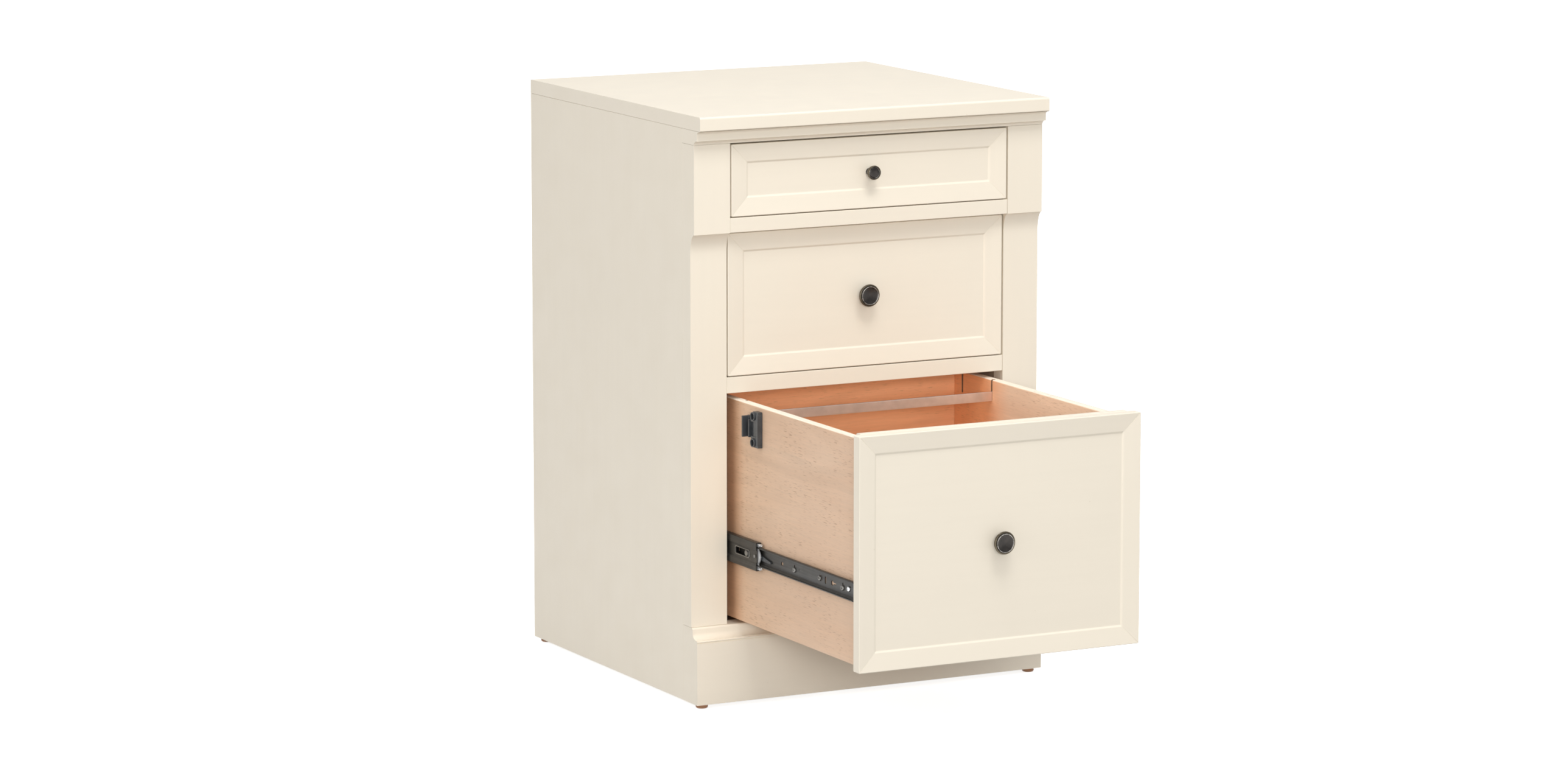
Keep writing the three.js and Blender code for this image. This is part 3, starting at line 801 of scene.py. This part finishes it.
def box_end(drawer, part, finishes, slot_name):
    """The box front or back: rounded upper edges, and the bottom's groove on the side facing in."""
    node = f"{drawer}_drawer_{part}"
    low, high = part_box(node)
    bottom_low, bottom_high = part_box(drawer + "_drawer_bottom")
    gap, ease, foot = 0.3 * MM, 2.0 * MM, 0.7 * MM
    outline = arc((low.y + ease, high.z - ease), (-ease, ease), 0, 1, 6)
    outline += arc((high.y - ease, high.z - ease), (ease, ease), 1, 0, 6)
    outline += [(high.y, low.z + foot), (high.y - foot, low.z)]
    outline += [(low.y + foot, low.z), (low.y, low.z + foot)]
    made = swept(node + "_board", outline, low.x, high.x, 0, finishes, 0.8 * MM)
    spread = Vector((gap, gap, gap))
    groove = box_mesh(bottom_low - spread, bottom_high + spread)
    carve(made, [to_object("cutter", groove, [], 32.0, False)])
    fit(made, drawer + "_drawer", slot_name, node)


def build_knob(drawer):
    """A flange, a waisted neck, a rim, a groove, a thin ring, and a face: domed if small, else dished."""
    node = drawer + "_drawer_knob"
    low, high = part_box(node)
    radius, reach = (high.x - low.x) / 2, high.y - low.y
    small = drawer == "top"
    rim = reach - (2.6 if small else 4.0) * MM
    tip = radius * 0.06
    profile = [(0, 0), (radius * 0.50, 0)]
    profile += arc((radius * 0.47, 0.7 * MM), (radius * 0.05, 0.7 * MM), -1, 1, 6)
    profile += arc((radius * 0.47, 5.2 * MM), (radius * 0.13, 3.7 * MM), -1, -2, 8)
    profile += arc((radius * 0.34, rim - 0.8 * MM), (radius * 0.60, rim - 6.2 * MM), -1, 0, 10)[1:]
    profile += arc((radius - tip, rim + 0.9 * MM), (tip, 1.4 * MM), -0.8, 1, 8)
    profile += arc((radius * 0.90, rim + 1.9 * MM), (radius * 0.03, 0.6 * MM), 1, 2, 4)
    groove = rim + (1.2 if small else 0.6) * MM
    profile += [(radius * 0.855, groove), (radius * 0.82, groove)]
    ring_top = reach - (1.4 if small else 0.5) * MM
    profile += arc((radius * 0.795, ring_top), (radius * 0.022, 0.5 * MM), 0, 2, 8)
    if small:
        profile += arc((0, ring_top - 0.2 * MM), (radius * 0.76, reach - ring_top + 0.2 * MM), 0.04, 1, 14)
    else:
        dish = 1.5 * MM
        profile += [
            (radius * 0.76 * (1 - i / 14), ring_top - 0.3 * MM - dish * math.sin(math.pi / 2 * i / 14))
            for i in range(1, 15)
        ]
    profile[-1] = (0, profile[-1][1])
    finish = bronze(drawer + "_knob_bronze", radius * 0.765, radius * 0.82, radius * 0.865)
    knob = lathe(node + "_turned", profile, [finish], 96, 40.0)
    knob.location = ((low.x + high.x) / 2, high.y, (low.z + high.z) / 2)
    fit(knob, drawer + "_drawer", "aged_bronze", node)
    bolt_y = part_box(drawer + "_drawer_box_front")[1].y
    seat = facing_matrix((0, bolt_y, knob.location.z), (0, 1, 0))
    bolt = scatter(node + "_bolt", SCREW, [seat], [ZINC])
    fit(bolt, drawer + "_drawer", "slide_steel")


def build_striker(drawer):
    """The interlock catch: two screwed bosses, a ribbed bridge, and a flange with the latch wall.

    Its shapes are in millimetres: in front of its middle, above it, and out from the drawer side.
    """
    node = drawer + "_drawer_interlock_striker"
    low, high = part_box(node)
    face, crown = high.x, low.x + 1.5 * MM
    centre_y, centre_z = high.y - 15 * MM, (low.z + high.z) / 2
    half, depth = (high.z - low.z) / 2 / MM, (high.x - low.x) / MM

    def at(front, rise):
        return centre_y - front * MM, centre_z + rise * MM

    def slab(outline, height, radius=0.5):
        data = prism([at(*pair) for pair in outline], face - height * MM, face, 0)
        soften(data, radius * MM, 3, 40.0)
        return data

    boss_front, boss_rise, boss, hole = 11.2, half - 6.3, 5.6, 4.2
    shells = [
        slab([(21.6, -19), (21.6, 19), (-2, 11), (-2, -11)], 3),
        slab(rounded_box((14.4, 0), 7.4, half - 11.5, 0.8), 5.2),
        slab(rounded_box((20.2, 0), 1.8, half - 3, 1.2), 7.2),
        slab([(-1, -11), (-1, 13), (-15, 15), (-15, -13)], 2.6),
        slab(rounded_box((-13.2, 1), 1.6, 13.6, 0.8), depth),
        slab(rounded_box((-7.4, 1), 0.7, 12, 0.5), 5.5, 0.3),
        slab(rounded_box((-1.2, 0), 1.3, half - 11.6, 0.8), 8.2),
    ]
    for side in (-1, 1):
        tip, root = side * (half - 0.2), side * 9.5
        shells.append(slab([(21.8, tip), (8.5, tip), (1.0, root), (21.8, root)], 6.6, 1.8))
    for i in range(5):
        shells.append(slab(rounded_box((16.4, (i - 2) * 3.6), 1.4, 0.5, 0.2), 6.0, 0.15))
    data = bmesh.new()
    for shell in shells:
        append_bmesh(data, shell)
    made = to_object(node + "_moulding", data, [BLACK, BRIDGE_GREY_AND_HIGHLIGHT], 38.0, False)
    join = made.modifiers.new("join", "REMESH")
    join.mode = "VOXEL"
    join.voxel_size = 0.28 * MM
    bake(made, 180.0, False)
    centres = [at(boss_front, side * boss_rise) for side in (-1, 1)]
    for centre in centres:
        add_boss(made, centre, (face, crown), boss * MM, hole * MM)
    for polygon in made.data.polygons:
        front, rise = (centre_y - polygon.center.y) / MM, abs(polygon.center.z - centre_z) / MM
        bridge = 2 < front < 19 and rise < half - 13
        clear_of_hole = math.dist((front, rise), (boss_front, boss_rise)) > hole
        # Painted highlight: the proud faces that look out along -X, clear of the holes, take the lighter
        # grey as if lit.
        ear_highlight = polygon.normal.x < -0.7 and front > 2 and clear_of_hole
        polygon.material_index = 1 if bridge or ear_highlight else 0
    fit(made, drawer + "_drawer", "black_plastic", node)
    small = Matrix.Scale(0.72, 4)
    seats = [facing_matrix((face - 1.2 * MM, *centre), (-1, 0, 0)) @ small for centre in centres]
    fit(scatter(node + "_screws", SCREW, seats, [BLACK]), drawer + "_drawer", "black_plastic")


def add_boss(made, centre, reach, radius, hole):
    """Drills the moulding and lines the hole with a round boss that stands proud of it."""
    face, crown = reach
    tall, ease, floor = face - crown, 0.5 * MM, 1.2 * MM
    profile = [(0, 0), (radius, 0)]
    profile += arc((radius - ease, tall - ease), (ease, ease), 0, 1, 4)
    profile += arc((hole + ease, tall - ease), (ease, ease), 1, 2, 4)
    profile += [(hole, floor), (0, floor)]
    boss = lathe("boss", profile, [BLACK], 40, 38.0)
    boss.data.transform(facing_matrix((face, *centre), (-1, 0, 0)))
    drill = cutter(circle(centre, hole + 0.4 * MM, 40), crown - MM, face - floor / 2)
    for operation, tool in (("DIFFERENCE", drill), ("UNION", boss)):
        cut = made.modifiers.new("boss", "BOOLEAN")
        cut.operation = operation
        cut.solver = "EXACT"
        cut.object = tool
    bake(made, 38.0, False)
    for leftover in (boss, drill):
        bpy.data.objects.remove(leftover)


def build_drawer(drawer):
    body = drawer + "_drawer"
    drawer_front(drawer)
    for side, sign in SIDES:
        box_side(drawer, side, sign)
    box_end(drawer, "box_front", [PAINT_X], "cream_paint")
    # The file drawer's back takes the orange painted shade; the other drawers take the pale maple.
    box_end(drawer, "back", [MAPLE_X_WARM_SHADE if drawer == "file" else PALE_X], "maple")
    bottom = board(body + "_bottom_sheet", *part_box(body + "_bottom"), 0.4 * MM, [PLY])
    fit(bottom, body, "drawer_bottom_board", body + "_bottom")
    build_knob(drawer)
    if drawer != "top":
        build_striker(drawer)
    front_low, front_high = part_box(body + "_box_front")
    inset_x, inset_z = 45 * MM, 22 * MM
    seats = [
        facing_matrix((sign * (front_high.x - inset_x), front_high.y, z), (0, 1, 0))
        for _, sign in SIDES
        for z in (front_low.z + inset_z + 18 * MM, front_high.z - inset_z)
    ]
    fit(scatter(body + "_front_screws", SCREW, seats, [ZINC]), body, "slide_steel")


def build_file_bar():
    low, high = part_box("hanging_file_bar")
    bar = board("file_bar_strip", low, high, 0.35 * MM, [BAR])
    fit(bar, "file_bar", "aluminium_bar", "hanging_file_bar")


# ---------------- slides
# A slide member's own axes: X inward from the stile's edge, Y behind the member's front end,
# Z above the slide's centre line.

SHEET = 1.2 * MM
# Middle of an intermediate member's window, as millimetres along Y and Z.
WINDOW = (39.5, 0.4)


def member(name, line, length, bend, holes):
    """A member of bent sheet with punched holes, each an outline in Y and Z."""
    points = filleted([(x * MM, z * MM) for x, z in line], bend)
    data = prism(ribbon(points, SHEET), 0, length, 1)
    made = to_object(name, data, [], 32.0, False)
    tools = [cutter([(y * MM, z * MM) for y, z in outline], -5 * MM, 20 * MM) for outline in holes]
    return taken_mesh(carve(made, tools, 32.0, False))


def mirrored_line(half_line):
    return half_line + [(x, -z) for x, z in reversed(half_line)]


def cabinet_member_mesh(length):
    line = mirrored_line([(9.0, 20.4), (9.0, 22.0), (0.9, 22.0)])
    holes = [circle((18, 0), 2.6), circle((length / MM - 16, 0), 2.6)]
    holes += [rounded_box((y, 0), 9, 2.6, 2.5) for y in (96, 224, 320)]
    return member("cabinet_member", line, length, 0.9 * MM, holes)


def intermediate_mesh(length):
    half_line = [(9.8, 15.9), (9.8, 17.8), (3.2, 17.8), (3.2, 9.2), (4.5, 7.7)]
    holes = [rounded_box(WINDOW, 19, 4.2, 2.2), rounded_box((length / MM - 60, 0), 26, 4, 2)]
    holes += [circle((120, 0), 2.0), circle((180, 0), 2.0)]
    return member("intermediate_member", mirrored_line(half_line), length, 0.8 * MM, holes)


def drawer_member_mesh(length):
    half_line = [(5.6, 10.9), (5.6, 12.0), (8.8, 12.0), (11.8, 8.8)]
    holes = [
        keyhole((37, -1.6), 3.4, 1.3, 5.4, 1),
        keyhole((65, -0.4), 3.2, 1.0, 9.0, 2),
        rounded_box((83, 0), 1.8, 4.6, 1.7),
        circle((97.5, 0.3), 3.9),
        circle((154, 0.6), 0.8),
        keyhole((166, -1.6), 3.4, 1.3, 5.4, 1),
        rounded_box((200, 0.4), 2.7, 2.1, 0.5),
        rounded_box((320, 0), 2.0, 4.4, 1.9),
        circle((350, 0), 2.6),
    ]
    return member("drawer_member", mirrored_line(half_line), length, 0.7 * MM, holes)


def window_rim_mesh():
    """The raised lip round the window of an intermediate member."""
    outer = rounded_outline(20.2 * MM, 5.4 * MM, 3.2 * MM)
    inner = rounded_outline(19.1 * MM, 4.3 * MM, 2.3 * MM)
    centre = (WINDOW[0] * MM, WINDOW[1] * MM)
    base, crown = 3.8 * MM, 3.25 * MM
    data = bmesh.new()
    rings = []
    for outline, x in ((outer, base), (outer, crown), (inner, crown), (inner, base)):
        rings.append([data.verts.new((x, centre[0] + a, centre[1] + b)) for a, b in outline])
    count = len(outer)
    for ring, following in zip(rings, rings[1:] + rings[:1]):
        for i in range(count):
            j = (i + 1) % count
            data.faces.new((ring[i], ring[j], following[j], following[i]))
    return loose_mesh("window_rim", data)


def retainer_mesh():
    """The front end of the ball retainer: a plate whose front edge bulges like a brace, and two balls."""
    edge = [(-6.4, 16.4), (-5.6, 14.6), (-1.6, 13.0), (0.6, 9.6), (-3.4, 5.6), (-5.6, 0.0)]
    edge += [(y, -z) for y, z in reversed(edge[:-1])]
    curve = filleted([(y * MM, z * MM) for y, z in edge], 1.4 * MM, 4)
    rear = 30 * MM
    thick, plate = 1.6 * MM, 6.0 * MM
    data = prism(curve + [(rear, -16.4 * MM), (rear, 16.4 * MM)], plate, plate + thick, 0)
    soften(data, 0.25 * MM, 2, 50.0)
    flange_low, flange_high = 5.2 * MM, 9.2 * MM
    for sign in (-1, 1):
        z0, z1 = sorted((sign * 15.6 * MM, sign * 16.5 * MM))
        piece = box_mesh((flange_low, -6.4 * MM, z0), (flange_high, rear, z1))
        soften(piece, 0.25 * MM, 2)
        append_bmesh(data, piece)
        ball = bmesh.new()
        bmesh.ops.create_icosphere(ball, subdivisions=3, radius=1.5 * MM)
        bmesh.ops.translate(ball, verts=ball.verts, vec=(8.4 * MM, -4.6 * MM, sign * 14.6 * MM))
        append_bmesh(data, ball)
    return loose_mesh("retainer", data)


def lever_mesh():
    """The release lever: a curved wedge that lies along the web of a drawer member."""
    top = [(228, -2.6), (240, -0.4), (256, 2.6), (276, 4.6)]
    bottom = [(276, -3.6), (252, -4.6), (236, -5.0), (228, -5.0)]
    points = filleted([(y * MM, z * MM) for y, z in top + bottom], 1.0 * MM, 3)
    data = prism(points, 8.9 * MM, 11.1 * MM, 0)
    soften(data, 0.5 * MM, 3, 40.0)
    return loose_mesh("lever", data)


def stop_mesh():
    """The bent tab inside the window of an intermediate member."""
    data = prism(rounded_box((28.0 * MM, 0.4 * MM), 4.0 * MM, 3.4 * MM, 3.2 * MM), 2.9 * MM, 5.4 * MM, 0)
    soften(data, 0.9 * MM, 4, 40.0)
    return loose_mesh("stop", data)


def rivet_mesh():
    profile = [(0, 0), (2.3 * MM, 0)] + arc((1.3 * MM, 0.1 * MM), (1.0 * MM, 0.7 * MM), 0, 1, 4)
    profile += [(0.9 * MM, 0.8 * MM), (0.7 * MM, 0.3 * MM), (0, 0.3 * MM)]
    return taken_mesh(lathe("rivet", profile, [], 28, 40.0))


def build_slides():
    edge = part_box("right_stile")[0].x
    makers = {
        "cabinet_member": cabinet_member_mesh,
        "intermediate_member": intermediate_mesh,
        "drawer_member": drawer_member_mesh,
    }
    meshes = {}
    for kind, make in makers.items():
        low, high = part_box("file_slide_left_" + kind)
        meshes[kind] = make(high.y - low.y)
    window, retainer, lever = window_rim_mesh(), retainer_mesh(), lever_mesh()
    stop, rivet = stop_mesh(), rivet_mesh()
    web = {"cabinet_member": 1.5, "intermediate_member": 2.6, "drawer_member": 11.2}
    for drawer in DRAWERS:
        for side, sign in SIDES:
            title = f"{drawer}_slide_{side}_"
            bodies = {
                "cabinet_member": "case",
                "intermediate_member": drawer + "_intermediates",
                "drawer_member": drawer + "_drawer",
            }

            def homed(kind):
                low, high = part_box(title + kind)
                place_at = Matrix.Translation((sign * edge, low.y, (low.z + high.z) / 2))
                return place_at @ Matrix.Diagonal((-sign, 1, 1, 1))

            def put(name, mesh, kind, finish, *nodes, spots=(Matrix.Identity(4),)):
                made = scatter(title + name, mesh, [homed(kind) @ spot for spot in spots], [finish])
                fit(made, bodies[kind], "slide_steel", *nodes)

            def screws(kind, *places):
                outward = Vector((-1, 0, 0)) if kind == "drawer_member" else Vector((1, 0, 0))
                at = web[kind] * MM
                return [facing_matrix((at, y * MM, z * MM), outward) for y, z in places]

            for kind, mesh in meshes.items():
                put(kind + "_steel", mesh, kind, STEEL, title + kind)
            middle, outer, inner = "intermediate_member", "cabinet_member", "drawer_member"
            # Painted highlight: the window's raised lip and its stop tab take the lighter grey steel for
            # the light they catch.
            put("window_rim", window, middle, LIGHT_GREY_STEEL)
            put("window_stop", stop, middle, LIGHT_GREY_STEEL)
            # The retainer's light grey is partly painted highlight.
            put("retainer", retainer, middle, RETAINER_PLATING_HIGHLIGHT)
            seat = facing_matrix((2.6 * MM, 4 * MM, 0.6 * MM), (-1, 0, 0))
            put("rivet", rivet, middle, LIGHT_GREY_STEEL, spots=[seat])
            put("release_lever", lever, inner, BLACK)
            fixings = screws(inner, (37, -1.6), (97.5, 0.3), (166, -1.6), (350, 0))
            put("drawer_screws", SCREW, inner, LIGHT_GREY_STEEL, spots=fixings)
            put("end_screw", SCREW, inner, ZINC, spots=screws(inner, (20.5, 0)))
            put("case_screws", SCREW, outer, ZINC, spots=screws(outer, (18, 0), (390, 0)))


# ---------------- camera, light, floor

def build_camera():
    data = bpy.data.cameras.new("camera")
    data.sensor_width = 36.0
    data.lens = 129.72
    data.clip_end = 100.0
    camera = bpy.data.objects.new("camera", data)
    camera.location = (-3.4230, -6.40435, 1.5787)
    direction = Vector((0.455544, 0.875687, -0.160161))
    camera.rotation_euler = direction.to_track_quat("-Z", "Y").to_euler()
    bpy.context.scene.collection.objects.link(camera)
    bpy.context.scene.camera = camera


def area_light(name, location, target, size, radiance, colour=(1.0, 0.995, 0.985)):
    """radiance is what the light adds to a white surface that faces it, in units of the world's."""
    data = bpy.data.lights.new(name, "AREA")
    data.shape = "RECTANGLE"
    data.size, data.size_y = size
    aim = Vector(target) - Vector(location)
    data.energy = radiance * (math.pi * aim.length) ** 2
    data.color = colour
    lamp = bpy.data.objects.new(name, data)
    lamp.location = location
    lamp.rotation_euler = aim.to_track_quat("-Z", "Y").to_euler()
    bpy.context.scene.collection.objects.link(lamp)


def build_world():
    """Soft light, brighter from above; the backdrop itself is white to the camera."""
    world = bpy.data.worlds.new("studio")
    world.use_nodes = True
    tree = world.node_tree
    where = add_node(tree, "TexCoord").outputs["Generated"]
    rise = add_node(tree, "SeparateXYZ", {"Vector": where}).outputs["Z"]
    height = add_node(tree, "Math", {0: rise, 1: 0.5, 2: 0.5}, operation="MULTIPLY_ADD")
    sky = ramp(tree, height.outputs["Value"], (0.45, 0.39), (0.56, 0.48), (1.0, 0.99))
    seen = add_node(tree, "LightPath").outputs["Is Camera Ray"]
    background = tree.nodes["Background"]
    tree.links.new(mix(tree, seen, sky, (1.0, 1.0, 1.0)), background.inputs["Color"])
    bpy.context.scene.world = world


def build_light():
    build_world()
    area_light("overhead_key", (-0.3, -1.55, 3.4), (0, 0, 0.5), (1.4, 1.0), 0.42)
    area_light("front_fill", (-3.3, -8.05, 2.0), (0, -0.1, 0.4), (3.0, 1.6), 0.31)
    area_light("left_fill", (-4.0, -0.9, 1.4), (0, 0, 0.4), (2.4, 2.0), 0.135, (1.0, 0.97, 0.92))
    bpy.context.scene.view_settings.view_transform = "Standard"


def build_floor():
    data = bmesh.new()
    size = 30.0
    corners = ((-size, -size), (size, -size), (size, size), (-size, size))
    data.faces.new([data.verts.new((x, y, 0)) for x, y in corners])
    finish, tree, shader = material("studio_floor", 0.9)
    bounced = add_node(tree, "LightPath").outputs["Is Diffuse Ray"]
    feed(tree, shader, mix(tree, bounced, grey(0.9), grey(0.30)))
    shader.inputs["Emission Color"].default_value = (1.0, 1.0, 1.0, 1.0)
    glow = ramp(tree, bounced, (0.0, 0.75), (1.0, 0.0))
    tree.links.new(glow, shader.inputs["Emission Strength"])
    shader.inputs["Specular IOR Level"].default_value = 0.0
    mesh = bpy.data.meshes.new("floor")
    data.to_mesh(mesh)
    data.free()
    mesh.materials.append(finish)
    floor = bpy.data.objects.new("floor", mesh)
    bpy.context.scene.collection.objects.link(floor)


build_camera()
build_light()
build_floor()
build_case()
for drawer_name in DRAWERS:
    build_drawer(drawer_name)
build_file_bar()
build_slides()
